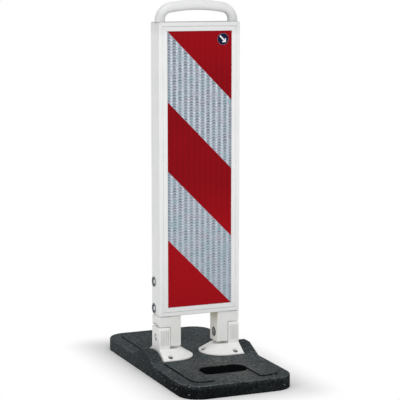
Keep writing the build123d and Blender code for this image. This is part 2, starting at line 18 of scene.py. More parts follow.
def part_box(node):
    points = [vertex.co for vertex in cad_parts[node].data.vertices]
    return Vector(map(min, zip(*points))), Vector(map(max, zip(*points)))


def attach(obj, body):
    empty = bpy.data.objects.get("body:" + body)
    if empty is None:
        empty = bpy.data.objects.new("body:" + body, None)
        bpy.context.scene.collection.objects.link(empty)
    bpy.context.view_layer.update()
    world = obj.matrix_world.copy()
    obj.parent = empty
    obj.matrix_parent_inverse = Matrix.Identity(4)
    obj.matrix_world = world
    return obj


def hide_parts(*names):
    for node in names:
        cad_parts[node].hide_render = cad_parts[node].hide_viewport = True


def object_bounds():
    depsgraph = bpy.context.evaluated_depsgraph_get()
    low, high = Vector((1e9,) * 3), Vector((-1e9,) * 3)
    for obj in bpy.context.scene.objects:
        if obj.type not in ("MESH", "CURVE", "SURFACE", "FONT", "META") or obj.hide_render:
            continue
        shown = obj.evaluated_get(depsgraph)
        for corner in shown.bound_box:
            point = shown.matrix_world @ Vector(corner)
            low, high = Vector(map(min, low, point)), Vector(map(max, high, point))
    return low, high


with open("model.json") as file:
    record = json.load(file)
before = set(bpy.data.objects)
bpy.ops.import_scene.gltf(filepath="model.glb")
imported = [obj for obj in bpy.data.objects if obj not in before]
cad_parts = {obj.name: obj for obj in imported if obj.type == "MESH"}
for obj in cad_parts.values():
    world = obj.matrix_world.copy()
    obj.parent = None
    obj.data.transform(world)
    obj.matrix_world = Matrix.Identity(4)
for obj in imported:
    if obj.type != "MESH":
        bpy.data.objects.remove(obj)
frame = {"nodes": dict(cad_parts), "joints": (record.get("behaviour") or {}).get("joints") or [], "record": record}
nodes = frame["nodes"]
cad_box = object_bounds()
MM = 0.001
print(len(nodes), "nodes, size in mm:", [round(side / MM) for side in cad_box[1] - cad_box[0]])

# %% [markdown]
# ## Camera
# The picture was taken from the front left with a long lens, a little above the top of the board,
# so its upright lines hardly lean. The place and the angles come from fitting the film's corners and
# the outline of the base, seen in a square picture. A wider lens closer by would show the same
# things, but the base would grow against the board.

# %% Place the camera
def new_object(name, data):
    """Object around its data, linked to the scene."""
    thing = bpy.data.objects.new(name, data)
    bpy.context.scene.collection.objects.link(thing)
    return thing


CAMERA_PLACE = (-2.0692, -4.9495, 1.41885)
CAMERA_YAW = math.radians(22.86)
CAMERA_PITCH = math.radians(8.42)
SENSOR = 36
LENS = 133.53

camera_data = bpy.data.cameras.new("beacon_camera")
camera_data.sensor_width = SENSOR
camera_data.lens = LENS
camera = new_object("beacon_camera", camera_data)
camera.location = CAMERA_PLACE
camera.rotation_euler = (math.pi / 2 - CAMERA_PITCH, 0, -CAMERA_YAW)
bpy.context.scene.camera = camera
bpy.context.scene.view_settings.view_transform = "Standard"
print("lens", LENS, "mm, distance", round(camera.location.length, 2), "m")

# %% [markdown]
# ## Shader helpers
# A finish is a net of small nodes. A few helpers keep the cells short: they add a node and fill its
# inputs, do arithmetic, turn a range of values into a soft mask from 0 to 1, and lay one colour over
# another. An input may be a plain value or the output of another node, and the helpers tell them apart.

# %% Helpers that add nodes
def connect(tree, socket, value):
    """Link another node's output to a socket, or set the socket's own value."""
    if isinstance(value, bpy.types.NodeSocket):
        tree.links.new(value, socket)
    else:
        socket.default_value = value


def fill(tree, sockets, **values):
    """Connect or set several sockets by name. Underscores stand for spaces."""
    for name, value in values.items():
        connect(tree, sockets[name.replace("_", " ")], value)


def add(tree, kind, inputs=None, **settings):
    """Add a shader node, with inputs given by name or number."""
    node = tree.nodes.new("ShaderNode" + kind)
    for name, value in settings.items():
        setattr(node, name, value)
    for name, value in (inputs or {}).items():
        connect(tree, node.inputs[name], value)
    return node


def spot_of(tree):
    """Point on a piece, as the board stands upright."""
    return add(tree, "TexCoord").outputs["Object"]


def place_of(tree):
    """X, Y and Z of that point."""
    return add(tree, "SeparateXYZ", {0: spot_of(tree)}).outputs


def facing_of(tree):
    """X, Y and Z of the direction that a surface faces."""
    return add(tree, "SeparateXYZ", {0: add(tree, "TexCoord").outputs["Normal"]}).outputs


# %% Helpers for arithmetic and masks
def maths(tree, operation, *values):
    """One step of arithmetic."""
    return add(tree, "Math", dict(enumerate(values)), operation=operation).outputs[0]


def gap(tree, value, middle=0.0):
    """Distance of a value from a middle, the same on both sides."""
    return maths(tree, "ABSOLUTE", maths(tree, "SUBTRACT", value, middle))


def product(tree, first, *others):
    """Several values multiplied."""
    for value in others:
        first = maths(tree, "MULTIPLY", first, value)
    return first


def largest(tree, first, *others):
    """The largest of several values."""
    for value in others:
        first = maths(tree, "MAXIMUM", first, value)
    return first


def slant(tree, across, along):
    """Straight distance to a point so far across and so far along."""
    squares = product(tree, across, across), product(tree, along, along)
    return maths(tree, "SQRT", maths(tree, "ADD", *squares))


def mask(tree, value, low, high):
    """Soft step from 0 at low to 1 at high. Low may be the larger, for a mask that falls."""
    inputs = {"Value": value, "From Min": low, "From Max": high}
    return add(tree, "MapRange", inputs, interpolation_type="SMOOTHSTEP").outputs[0]


def spread(tree, value, low, high):
    """Stretch a value that runs from 0 to 1 over the range low to high."""
    return add(tree, "MapRange", {"Value": value, "To Min": low, "To Max": high}).outputs[0]


# %% Helpers for colour
def grey(red, green=None, blue=None):
    """Colour with full alpha."""
    return (red, red if green is None else green, red if blue is None else blue, 1.0)


def tint(tree, factor, first, second):
    """Colour that goes from first to second with the factor."""
    return add(tree, "Mix", {0: factor, 6: first, 7: second}, data_type="RGBA").outputs[2]


def over(tree, colour, coat, where, most):
    """Lay a coat over a colour where a mask says, with the given share at most."""
    return tint(tree, spread(tree, where, 0.0, most), colour, coat)


# %% Helpers for node groups
def new_group(name, inputs, outputs):
    """Empty shader group with float inputs and named outputs, with its two end nodes."""
    tree = bpy.data.node_groups.new(name, "ShaderNodeTree")
    for label, value in inputs.items():
        socket = tree.interface.new_socket(label, in_out="INPUT", socket_type="NodeSocketFloat")
        socket.default_value = value
    for label in outputs:
        kind = "NodeSocketVector" if label == "Normal" else "NodeSocketFloat"
        tree.interface.new_socket(label, in_out="OUTPUT", socket_type=kind)
    ends = tree.nodes.new("NodeGroupInput"), tree.nodes.new("NodeGroupOutput")
    return tree, ends[0].outputs, ends[1].inputs


def use_group(tree, group, **values):
    """Place a group in a tree, with its own values."""
    node = tree.nodes.new("ShaderNodeGroup")
    node.node_tree = group
    fill(tree, node.inputs, **values)
    return node.outputs


def show_group(group):
    """Print how large a group has become."""
    print("group", group.name, "with", len(group.nodes), "nodes")


# %% [markdown]
# ## Shared effects
# Five things happen to many of these surfaces. Moulded plastic has a fine grain and a slight cloudiness.
# Edges are never razor sharp, and on the base they are worn pale with a painted highlight. Dust settles on
# what faces up, and corners and gaps get painted shade. Long extrusions carry faint lines along their
# length. Each is a group, so a material only chooses how much of it there is. The patterns read the
# piece's own coordinates, so they stay put when the board folds.

# %% Group: moulded grain
FINE_DETAIL, SLOW_DETAIL = 2.0, 4.0


def noise(tree, where, size, detail):
    """Soft noise with a size in mm."""
    scale = maths(tree, "DIVIDE", 1 / MM, size)
    return add(tree, "TexNoise", {"Vector": where, "Scale": scale, "Detail": detail}).outputs["Fac"]


def make_grain():
    """Fine pebbled height and a slow cloud."""
    inputs = {"Grain Size": 0.6, "Cloud Size": 60.0}
    tree, given, made = new_group("moulded_grain", inputs, ["Height", "Cloud"])
    where = spot_of(tree)
    fill(tree, made, Height=noise(tree, where, given["Grain Size"], FINE_DETAIL),
         Cloud=noise(tree, where, given["Cloud Size"], SLOW_DETAIL))
    return tree


grain_group = make_grain()
show_group(grain_group)

# %% Group: rounded edge
EDGE_SAMPLES = 6
EDGE_TURN = (0.995, 0.8)


def make_edge():
    """Normal that rounds off sharp edges over a radius in mm, and a mask of where they are."""
    tree, given, made = new_group("rounded_edge", {"Radius": 1.0}, ["Normal", "Edge"])
    radius = maths(tree, "MULTIPLY", given["Radius"], MM)
    soft = add(tree, "Bevel", {"Radius": radius}, samples=EDGE_SAMPLES).outputs[0]
    flat = add(tree, "NewGeometry").outputs["True Normal"]
    turn = add(tree, "VectorMath", {0: soft, 1: flat}, operation="DOT_PRODUCT").outputs["Value"]
    fill(tree, made, Normal=soft, Edge=mask(tree, turn, *EDGE_TURN))
    return tree


edge_group = make_edge()
show_group(edge_group)

# %% Group: settled dust
DUST_DETAIL = 6.0
DUST_THICK = 0.75
DUST_SLOPE = (0.35, 0.95)


def make_dust():
    """Mask of surfaces that face up, broken up by patches with a size in mm."""
    tree, given, made = new_group("settled_dust", {"Patch Size": 40.0, "Bare": 0.3}, ["Dust"])
    patches = noise(tree, spot_of(tree), given["Patch Size"], DUST_DETAIL)
    level = mask(tree, facing_of(tree)["Z"], *DUST_SLOPE)
    fill(tree, made, Dust=product(tree, level, mask(tree, patches, given["Bare"], DUST_THICK)))
    return tree


dust_group = make_dust()
show_group(dust_group)

# %% Group: painted shade in corners
CORNER_SHADE_SAMPLES = 8


def make_corner_shade():
    """Mask of corners and gaps for painted shade, by how enclosed they are within a distance in mm."""
    inputs = {"Reach": 8.0, "Open": 0.85, "Deep": 0.3}
    tree, given, made = new_group("painted_corner_shade", inputs, ["Shelter"])
    reach = maths(tree, "MULTIPLY", given["Reach"], MM)
    openness = add(tree, "AmbientOcclusion", {"Distance": reach}, samples=CORNER_SHADE_SAMPLES).outputs["AO"]
    fill(tree, made, Shelter=mask(tree, openness, given["Open"], given["Deep"]))
    return tree


corner_shade_group = make_corner_shade()
show_group(corner_shade_group)

# %% Group: lines of an extrusion
LINE_DETAIL = 3.0
LINE_STRETCH = 0.97


def make_draw_lines():
    """Faint lines along one axis: noise that changes fast across it and slowly along it."""
    inputs = {"Along X": 0.0, "Along Z": 1.0, "Line Width": 2.5}
    tree, given, made = new_group("draw_lines", inputs, ["Lines"])
    shares = [given["Along X"], 0.0, given["Along Z"]]
    keep = [maths(tree, "MULTIPLY_ADD", share, -LINE_STRETCH, 1.0) for share in shares]
    scale = add(tree, "CombineXYZ", dict(enumerate(keep))).outputs[0]
    stretched = add(tree, "VectorMath", {0: spot_of(tree), 1: scale}, operation="MULTIPLY").outputs[0]
    fill(tree, made, Lines=noise(tree, stretched, given["Line Width"], LINE_DETAIL))
    return tree


draw_group = make_draw_lines()
show_group(draw_group)

# %% [markdown]
# ## White plastic of the frame
# Posts, rails and beads are one satin white extrusion, cut at 45 degrees and welded at the corners, so
# a hair line runs across each corner. Rails lie along X and posts along Z, and the draw lines follow.
# The weld line is where the distance from the side and from the end are equal, one rule for all corners.
# Rain leaves a faint grey band round the top of the frame and the feet of the handle. Weld and band are
# groups too, because posts, rails and handle share them.

# %% Group: weld on the mitres
frame_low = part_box("post_left")[0]
frame_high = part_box("post_right")[1]
frame_half = (frame_high.x - frame_low.x) / 2
frame_rise = (frame_high.z - frame_low.z) / 2
frame_level = (frame_high.z + frame_low.z) / 2


def make_weld():
    """Thin mask on the mitre of each corner of the frame, from its edge to its core in mm."""
    tree, given, made = new_group("mitre_weld", {"Edge": 0.5, "Core": 0.15}, ["Weld"])
    place = place_of(tree)
    beside = maths(tree, "SUBTRACT", gap(tree, place["X"]), frame_half)
    beyond = maths(tree, "SUBTRACT", gap(tree, place["Z"], frame_level), frame_rise)
    apart = maths(tree, "DIVIDE", gap(tree, beside, beyond), MM)
    fill(tree, made, Weld=mask(tree, apart, given["Edge"], given["Core"]))
    return tree


weld_group = make_weld()
print("frame", round(2 * frame_half / MM), "by", round(2 * frame_rise / MM), "mm")

# %% Group: band of rain
def make_rain_band():
    """Mask of the band that takes the most rain, round the top of the frame, with its reach in mm."""
    tree, given, made = new_group("rain_band", {"Reach": 55.0, "Full": 20.0}, ["Band"])
    apart = maths(tree, "DIVIDE", gap(tree, place_of(tree)["Z"], frame_high.z), MM)
    fill(tree, made, Band=mask(tree, apart, given["Reach"], given["Full"]))
    return tree


rain_group = make_rain_band()
RAIN_SHARE = 0.13
print("rain band round", round(frame_high.z / MM), "mm")

# %% Start of every material
def new_material(name, **fixed):
    """Material with an empty tree, a shader with its fixed values set, and its output."""
    material = bpy.data.materials.new(name)
    material.use_nodes = True
    tree = material.node_tree
    tree.nodes.clear()
    shader = add(tree, "BsdfPrincipled")
    fill(tree, shader.inputs, **fixed)
    add(tree, "OutputMaterial", {"Surface": shader.outputs[0]})
    return material, tree, shader.inputs


def relief(tree, height, depth, normal=None):
    """Bump of a given depth in mm, on top of a rounded normal."""
    inputs = {"Height": height, "Distance": depth * MM, "Strength": 1.0}
    if normal is not None:
        inputs["Normal"] = normal
    return add(tree, "Bump", inputs).outputs[0]


# %% Frame finish
FRAME_WHITE = grey(0.83, 0.835, 0.83)
FRAME_SHADE = grey(0.79, 0.8, 0.8)
FRAME_GRIME_AND_SHADE = grey(0.15, 0.153, 0.156)
FRAME_CLOUDS = (0.3, 0.75)
FRAME_ROUGHNESS = (0.3, 0.46)
FRAME_DUST_AND_SHADE, FRAME_WELD = 0.58, 0.45
FRAME_RELIEF = 0.03


def frame_finish(name, along_x, along_z):
    """Satin white extrusion with draw lines, weld lines, the rain band, and dust with painted shade on top."""
    material, tree, shader = new_material(name, Specular_IOR_Level=0.45)
    lines = use_group(tree, draw_group, Along_X=along_x, Along_Z=along_z, Line_Width=1.6)["Lines"]
    cloud = use_group(tree, grain_group, Cloud_Size=90.0)["Cloud"]
    edge = use_group(tree, edge_group, Radius=0.8)
    dust = use_group(tree, dust_group, Patch_Size=25.0, Bare=-0.5)["Dust"]
    rain = use_group(tree, rain_group)["Band"]
    weld = use_group(tree, weld_group)["Weld"]
    colour = tint(tree, mask(tree, cloud, *FRAME_CLOUDS), FRAME_WHITE, FRAME_SHADE)
    # Dust with painted shade on the faces that look up, in the same dark colour as the rain band and the welds
    for where, most in ((rain, RAIN_SHARE), (dust, FRAME_DUST_AND_SHADE), (weld, FRAME_WELD)):
        colour = over(tree, colour, FRAME_GRIME_AND_SHADE, where, most)
    rough = largest(tree, spread(tree, cloud, *FRAME_ROUGHNESS), dust)
    bump = relief(tree, maths(tree, "SUBTRACT", lines, weld), FRAME_RELIEF, edge["Normal"])
    fill(tree, shader, Base_Color=colour, Roughness=rough, Normal=bump)
    return material


post_white = frame_finish("post_white", along_x=0.0, along_z=1.0)
rail_white = frame_finish("rail_white", along_x=1.0, along_z=0.0)
print("frame finishes:", post_white.name, rail_white.name)

# %% [markdown]
# ## White moulded plastic
# The handle, the legs and the feet are injection moulded. They have no draw lines but a fine grain. The
# feet are the brightest, the legs a greyer white, and the handle is the smoothest, from hands. All carry
# dust on top and painted shade in their corners. The faces of the legs that look at each other are painted
# light: a lighter, warmer white that stands in for light thrown up from the floor. A brown stain has run
# down from the frame and carries painted shade under it, and the pocket of each lock nut is painted dark
# as painted shade.

# %% Stain with painted shade, and the shaded nut pocket, on the inner side of a leg
INWARD = (-0.5, -0.9)
RUN_LINES, RUN_SHARE = (0.45, 0.7), 0.15
STAIN_RISE = 0.03
POCKET_EDGE = (0.0183, 0.0178)
pivot = Vector(frame["joints"][0]["pos_m"])


def inner_face(tree):
    """Mask of the faces that look towards the middle of the object."""
    side = maths(tree, "SIGN", place_of(tree)["X"])
    return mask(tree, product(tree, side, facing_of(tree)["X"]), *INWARD)


def inner_stain_and_shade(tree):
    """Brown stain with painted shade under the frame, and faint stain runs below it."""
    runs = use_group(tree, draw_group, Along_Z=1.0, Line_Width=9.0)["Lines"]
    faint = spread(tree, mask(tree, runs, *RUN_LINES), 0.0, RUN_SHARE)
    top = mask(tree, place_of(tree)["Z"], pivot.z + STAIN_RISE, frame_low.z)
    return product(tree, inner_face(tree), largest(tree, faint, top))


def nut_pocket_shade(tree):
    """Mask of the round pocket for the lock nut, for painted shade, by the distance from the pivot axis."""
    place = place_of(tree)
    apart = slant(tree, gap(tree, place["Y"], pivot.y), gap(tree, place["Z"], pivot.z))
    return mask(tree, apart, *POCKET_EDGE)


print("pivot axis", round(pivot.z / MM), "mm above the ground")


# %% Moulded finish
LEG_WHITE = grey(0.86, 0.86, 0.85)
LEG_AGED = grey(0.81, 0.805, 0.78)
LEG_INNER_LIGHT = grey(0.97, 0.955, 0.895)
LEG_GRIME_AND_SHADE = grey(0.3, 0.28, 0.22)
LEG_STAIN_AND_SHADE = grey(0.47, 0.4, 0.17)
POCKET_SHADE, POCKET_SHADE_SHARE = grey(0.05, 0.052, 0.042), 0.8
FOOT_WHITE = grey(0.88, 0.88, 0.87)
FOOT_AGED = grey(0.84, 0.84, 0.825)
HANDLE_WHITE = grey(0.76, 0.765, 0.76)
HANDLE_SHADE = grey(0.72, 0.727, 0.725)
MOULD_CLOUDS = (0.35, 0.7)
MOULD_ROUGHNESS = (0.4, 0.58)
MOULD_DUST = 0.25


def moulded_finish(name, fresh, aged, grime_and_shade, grain, dirt_and_shade, stain=0.0):
    """Injection moulded plastic with cloudy ageing, grain, dust on top and painted shade in its corners."""
    material, tree, shader = new_material(name, Specular_IOR_Level=0.3)
    mould = use_group(tree, grain_group, Grain_Size=0.9, Cloud_Size=55.0)
    edge = use_group(tree, edge_group, Radius=1.2)
    dust = use_group(tree, dust_group, Patch_Size=18.0, Bare=0.45)["Dust"]
    corner_shade = use_group(tree, corner_shade_group, Reach=5.0)["Shelter"]
    rain = use_group(tree, rain_group)["Band"]
    colour = tint(tree, mask(tree, mould["Cloud"], *MOULD_CLOUDS), fresh, aged)
    # Inner faces of a leg: painted light that makes them a lighter, warmer white, the stain with painted shade
    # under the frame, and painted shade in the nut pocket
    if stain:
        colour = tint(tree, inner_face(tree), colour, LEG_INNER_LIGHT)
        colour = over(tree, colour, LEG_STAIN_AND_SHADE, inner_stain_and_shade(tree), stain)
        colour = over(tree, colour, POCKET_SHADE, nut_pocket_shade(tree), POCKET_SHADE_SHARE)
    colour = over(tree, colour, grime_and_shade, rain, RAIN_SHARE)
    # Dust on top and painted shade in the corners
    colour = over(tree, colour, grime_and_shade, largest(tree, product(tree, dust, MOULD_DUST), corner_shade), dirt_and_shade)
    rough = spread(tree, mould["Cloud"], *MOULD_ROUGHNESS)
    bump = relief(tree, mould["Height"], grain, edge["Normal"])
    fill(tree, shader, Base_Color=colour, Roughness=rough, Normal=bump)
    return material


leg_white = moulded_finish("leg_white", LEG_WHITE, LEG_AGED, LEG_GRIME_AND_SHADE, grain=0.05, dirt_and_shade=0.1, stain=0.65)
foot_white = moulded_finish("foot_white", FOOT_WHITE, FOOT_AGED, LEG_GRIME_AND_SHADE, grain=0.05, dirt_and_shade=0.35)
handle_white = moulded_finish("handle_white", HANDLE_WHITE, HANDLE_SHADE, FRAME_GRIME_AND_SHADE, grain=0.03,
                              dirt_and_shade=0.05)
print("moulded finishes:", leg_white.name, foot_white.name, handle_white.name)

# %% [markdown]
# ## Retroreflective film
# The film sends light back through rows of tiny prisms. Neighbouring columns of prisms lean opposite
# ways, so by day one column looks paler than the next and the rows run in a herringbone. A folded
# coordinate makes it: the distance from the middle of a column tilts the rows up on one side and down on
# the other, every second row is a little fainter, and each pair of columns is out of step with the next.
# No two prisms are alike, so each draws a number of its own, which sets how dark its row is and whether
# the seam beside it sparkles. The prisms also split the light, so the white has a play of cool and rosy
# tints. The red is a clear ink over the same prisms and shows them far more faintly.

# %% Group: prism columns
COLUMN_PAIR = 21.9
PRISM_ROW = 10.2
ROW_SLANT = 0.5
FAINT_ROW = 0.65
ROW_EDGE, COLUMN_EDGE, SEAM_EDGE = (0.25, 0.75), (0.25, 0.75), (0.72, 0.92)


def zigzag(tree, value):
    """Fall from 1 to 0 and rise back to 1 over each whole step of a value."""
    return gap(tree, maths(tree, "MULTIPLY", maths(tree, "FRACT", value), 2.0), 1.0)


def make_prisms():
    """Herringbone rows, alternate columns, the seams between pairs, and a number for each prism."""
    tree, _, made = new_group("prism_columns", {}, ["Rows", "Columns", "Seams", "Own"])
    place = place_of(tree)
    pairs = maths(tree, "DIVIDE", place["X"], COLUMN_PAIR * MM)
    fold = zigzag(tree, pairs)
    level = maths(tree, "DIVIDE", place["Z"], PRISM_ROW * MM)
    level = maths(tree, "MULTIPLY_ADD", fold, ROW_SLANT, level)
    pair = maths(tree, "FLOOR", pairs)
    step = add(tree, "TexWhiteNoise", {"W": pair}, noise_dimensions="1D").outputs["Value"]
    level = maths(tree, "ADD", level, step)
    cell = add(tree, "CombineXYZ", {0: pair, 1: maths(tree, "FLOOR", level)}).outputs[0]
    own = add(tree, "TexWhiteNoise", {"Vector": cell}, noise_dimensions="2D").outputs["Value"]
    second = maths(tree, "GREATER_THAN", maths(tree, "FRACT", maths(tree, "DIVIDE", level, 2.0)), 0.5)
    rows = mask(tree, zigzag(tree, level), *ROW_EDGE)
    rows = product(tree, rows, spread(tree, second, 1.0, FAINT_ROW))
    fill(tree, made, Rows=rows, Columns=mask(tree, fold, *COLUMN_EDGE),
         Seams=mask(tree, fold, *SEAM_EDGE), Own=own)
    return tree


prism_group = make_prisms()
print("prism columns", COLUMN_PAIR / 2, "mm wide, rows", PRISM_ROW, "mm apart")

# %% [markdown]
# The board stands with its foot in the spray of the road. A haze of dirt dulls the prisms there, so all
# the contrasts of the white film grow with the height. The red ink keeps its fresh tone at both ends.

# %% White film
FILM_PALE = grey(0.55, 0.61, 0.69)
FILM_MIDDLE = grey(0.33, 0.39, 0.455)
FILM_DEEP = grey(0.05, 0.065, 0.085)
FILM_ROSY = grey(0.46, 0.42, 0.49)
FILM_COOL = grey(0.3, 0.46, 0.5)
FILM_SPARK = grey(0.74, 0.8, 0.87)
HAZE = (0.2, 1.05)
DASH_COLUMNS, DASH_HAZE, DASH_OWN = (1.0, 0.6), (0.75, 1.0), (0.4, 1.15)
DASH_PLAY, DASH_WORN = (0.3, 0.6), (0.35, 1.0)
SPARK_OWN, SPARK_ROWS, SPARK_HAZE = (0.3, 0.85), (1.0, 0.4), (0.4, 1.1)
COLUMN_HAZE = (0.55, 1.0)
ROSY_CLOUD, COOL_CLOUD, PLAY_SHARE = (0.5, 0.65), (0.46, 0.34), 0.45
SPARK_SHARE = 0.9
WHITE_RELIEF = 0.03


def white_film_finish():
    """Bluish white film in which the prisms show: dark dashes, pale columns and sparkling seams."""
    material, tree, shader = new_material("film_white_finish", Roughness=0.3, Specular_IOR_Level=0.15)
    prisms = use_group(tree, prism_group)
    play = use_group(tree, grain_group, Grain_Size=6.5, Cloud_Size=26.0)
    clean = mask(tree, place_of(tree)["Z"], *HAZE)
    worn = spread(tree, mask(tree, play["Height"], *DASH_PLAY), *DASH_WORN)
    dash = product(tree, prisms["Rows"], spread(tree, prisms["Columns"], *DASH_COLUMNS),
                   spread(tree, clean, *DASH_HAZE), worn, spread(tree, prisms["Own"], *DASH_OWN))
    spark = product(tree, prisms["Seams"], mask(tree, prisms["Own"], *SPARK_OWN),
                    spread(tree, prisms["Rows"], *SPARK_ROWS), spread(tree, clean, *SPARK_HAZE))
    lean = maths(tree, "SUBTRACT", prisms["Columns"], 0.5)
    lean = maths(tree, "ADD", product(tree, lean, spread(tree, clean, *COLUMN_HAZE)), 0.5)
    colour = tint(tree, lean, FILM_MIDDLE, FILM_PALE)
    colour = over(tree, colour, FILM_ROSY, mask(tree, play["Cloud"], *ROSY_CLOUD), PLAY_SHARE)
    colour = over(tree, colour, FILM_COOL, mask(tree, play["Cloud"], *COOL_CLOUD), PLAY_SHARE)
    colour = tint(tree, dash, colour, FILM_DEEP)
    colour = over(tree, colour, FILM_SPARK, spark, SPARK_SHARE)
    fill(tree, shader, Base_Color=colour, Normal=relief(tree, prisms["Rows"], WHITE_RELIEF))
    return material


film_white = white_film_finish()
print("white film with", len(film_white.node_tree.nodes), "nodes")

# %% Red film
FILM_RED = grey(0.3, 0.0025, 0.007)
FILM_RED_DEEP = grey(0.17, 0.0015, 0.005)
FILM_RED_FRESH = grey(0.43, 0.0035, 0.008)
FRESH_LOW, FRESH_HIGH = (0.75, 0.42), (1.05, 1.22)
FRESH_TOP, FRESH_SHARE = 0.4, 0.57
PRISM_SHADE, CLOUD_SHADE = 0.2, 0.5
RED_RELIEF = 0.02


def red_film_finish():
    """Clear red ink, with the columns only just visible."""
    material, tree, shader = new_material("film_red_finish", Roughness=0.3, Specular_IOR_Level=0.06)
    prisms = use_group(tree, prism_group)
    cloud = use_group(tree, grain_group, Cloud_Size=120.0)["Cloud"]
    height = place_of(tree)["Z"]
    shade = product(tree, prisms["Rows"], PRISM_SHADE)
    shade = maths(tree, "MULTIPLY_ADD", prisms["Columns"], PRISM_SHADE, shade)
    shade = maths(tree, "MULTIPLY_ADD", cloud, CLOUD_SHADE, shade)
    top = spread(tree, mask(tree, height, *FRESH_HIGH), 0.0, FRESH_TOP)
    fresh = largest(tree, mask(tree, height, *FRESH_LOW), top)
    colour = tint(tree, shade, FILM_RED, FILM_RED_DEEP)
    colour = over(tree, colour, FILM_RED_FRESH, fresh, FRESH_SHARE)
    fill(tree, shader, Base_Color=colour, Normal=relief(tree, prisms["Rows"], RED_RELIEF))
    return material


film_red = red_film_finish()
print("red film with", len(film_red.node_tree.nodes), "nodes")

# %% [markdown]
# ## Base of pressed granulate
# The base is recycled granulate pressed into a mould: dark grains of a few millimetres, a pale chip
# here and there, and a matt skin. A cell pattern gives each grain its own shade and height. Dust from the
# road lies on what faces up, so the top is greyer than the walls, and the side walls are paler towards the
# back. The edges are worn pale and carry a painted highlight. Spray keeps the front end cleaner, but boots
# leave a dry, pale patch round the hand slot. The walls are darker near the ground at the front end, and
# the slot, the corners and the low step round the deck carry painted shade. Each is a mask.

# %% Walls of the slot and of the deck
RIM_TOP, DECK_TOP = 0.048, 0.052
SLOT_UPRIGHT, SLOT_MARGIN, SLOT_LIP = (0.7, 0.3), 0.03, 0.014
RISER_UPRIGHT, RISER_INSET = (0.95, 0.75), 0.012
RISER_FOOT = (RIM_TOP - 0.0015, RIM_TOP - 0.0005)
RISER_HEAD = (DECK_TOP + 0.001, DECK_TOP)
base_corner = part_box("base_plate")[1]
openings = {hole["name"]: hole["box_m"] for hole in frame["record"]["physics"]["openings"]}
slot_low, slot_high = [Vector(corner) for corner in openings["hand_slot"]]
slot_middle = (slot_low + slot_high) / 2


def slot_wall(tree, place, upward):
    """Mask of the walls of the hand slot, for painted shade, growing with the depth below its lip."""
    wall = mask(tree, gap(tree, upward), *SLOT_UPRIGHT)
    for label, middle, half in zip("XY", slot_middle, (slot_high - slot_low) / 2):
        apart = gap(tree, place[label], middle)
        wall = product(tree, wall, maths(tree, "LESS_THAN", apart, half + SLOT_MARGIN))
    return product(tree, wall, mask(tree, place["Z"], base_corner.z, base_corner.z - SLOT_LIP))


def deck_riser(tree, place, upward):
    """Mask of the low wall round the raised deck, inside the outer walls of the base."""
    wall = mask(tree, gap(tree, upward), *RISER_UPRIGHT)
    band = product(tree, wall, mask(tree, place["Z"], *RISER_FOOT), mask(tree, place["Z"], *RISER_HEAD))
    for label, half in zip("XY", base_corner):
        inside = maths(tree, "LESS_THAN", gap(tree, place[label]), half - RISER_INSET)
        band = product(tree, band, inside)
    return band


print("hand slot in mm:", [round(side / MM) for side in slot_high - slot_low])

# %% Darker low walls and painted shade
LOW_DARK_LEVELS = (0.044, 0.03)
LOW_DARK_FRONT, LOW_DARK_LEFT, LOW_DARK_SHARE = (-0.1, -0.38), (0.18, -0.15), (0.5, 0.85)
RISER_BREAKS, RISER_FRONT, RISER_SHARE = (0.2, 0.5), (0.1, -0.2), (0.4, 1.0)


def low_dark_walls(tree, place):
    """Mask of the walls near the ground at the front end, darkest at the left corner."""
    left = spread(tree, mask(tree, place["X"], *LOW_DARK_LEFT), *LOW_DARK_SHARE)
    low = mask(tree, place["Z"], *LOW_DARK_LEVELS)
    return product(tree, low, mask(tree, place["Y"], *LOW_DARK_FRONT), left)


def dark_places(tree, place, upward, cloud, slot):
    """Painted shade in corners, the slot and the deck step, most at the front; also the darker low walls."""
    corner = use_group(tree, corner_shade_group, Reach=6.0, Open=0.9, Deep=0.55)["Shelter"]
    front = spread(tree, mask(tree, place["Y"], *RISER_FRONT), *RISER_SHARE)
    # The step of the deck gets painted shade, broken up by a cloud
    riser = product(tree, deck_riser(tree, place, upward), mask(tree, cloud, *RISER_BREAKS), front)
    return largest(tree, corner, slot, low_dark_walls(tree, place), riser)


print("darker below", LOW_DARK_LEVELS[0], "m")


# %% Dust, paler side walls, and worn edges with a painted highlight
DUST_CLOUDS, DUST_UNEVEN = (0.35, 0.65), (0.65, 1.05)
KERB_LEVELS, KERB_DUST = (DECK_TOP + 0.001, DECK_TOP + 0.006), 0.45
FRONT_DUST, DECK_DUST = 0.78, 0.82
SIDE_BACK, SIDE_PALING = (-0.3, 0.3), 0.25
DRY_REACH, DRY_FULL = 0.21, 0.09
ROUND_FROM, ROUND_TO = (0.25, 0.6), (0.999, 0.95)
RUBBED_HIGHLIGHT_LEVELS, RUBBED_HIGHLIGHT_CLOUDS = (RIM_TOP + 0.001, RIM_TOP), (0.35, 0.65)


def road_dust(tree, place, facing, front):
    """Mask of dust, most on the deck, less on kerbs and the front end, and of side walls paler at the back."""
    slow = use_group(tree, grain_group, Cloud_Size=110.0)["Cloud"]
    dust = use_group(tree, dust_group, Patch_Size=10.0, Bare=0.2)["Dust"]
    uneven = spread(tree, mask(tree, slow, *DUST_CLOUDS), *DUST_UNEVEN)
    kerb = spread(tree, mask(tree, place["Z"], *KERB_LEVELS), 1.0, KERB_DUST)
    dust = product(tree, dust, uneven, kerb, spread(tree, front, 1.0, FRONT_DUST), DECK_DUST)
    back = mask(tree, place["Y"], *SIDE_BACK)
    return largest(tree, dust, product(tree, gap(tree, facing["X"]), back, SIDE_PALING))


def dry_patch(tree):
    """Mask of the dry, trodden patch round the hand slot, by the distance from its middle."""
    ends = {0: spot_of(tree), 1: slot_middle}
    apart = add(tree, "VectorMath", ends, operation="DISTANCE").outputs["Value"]
    return mask(tree, apart, DRY_REACH, DRY_FULL)


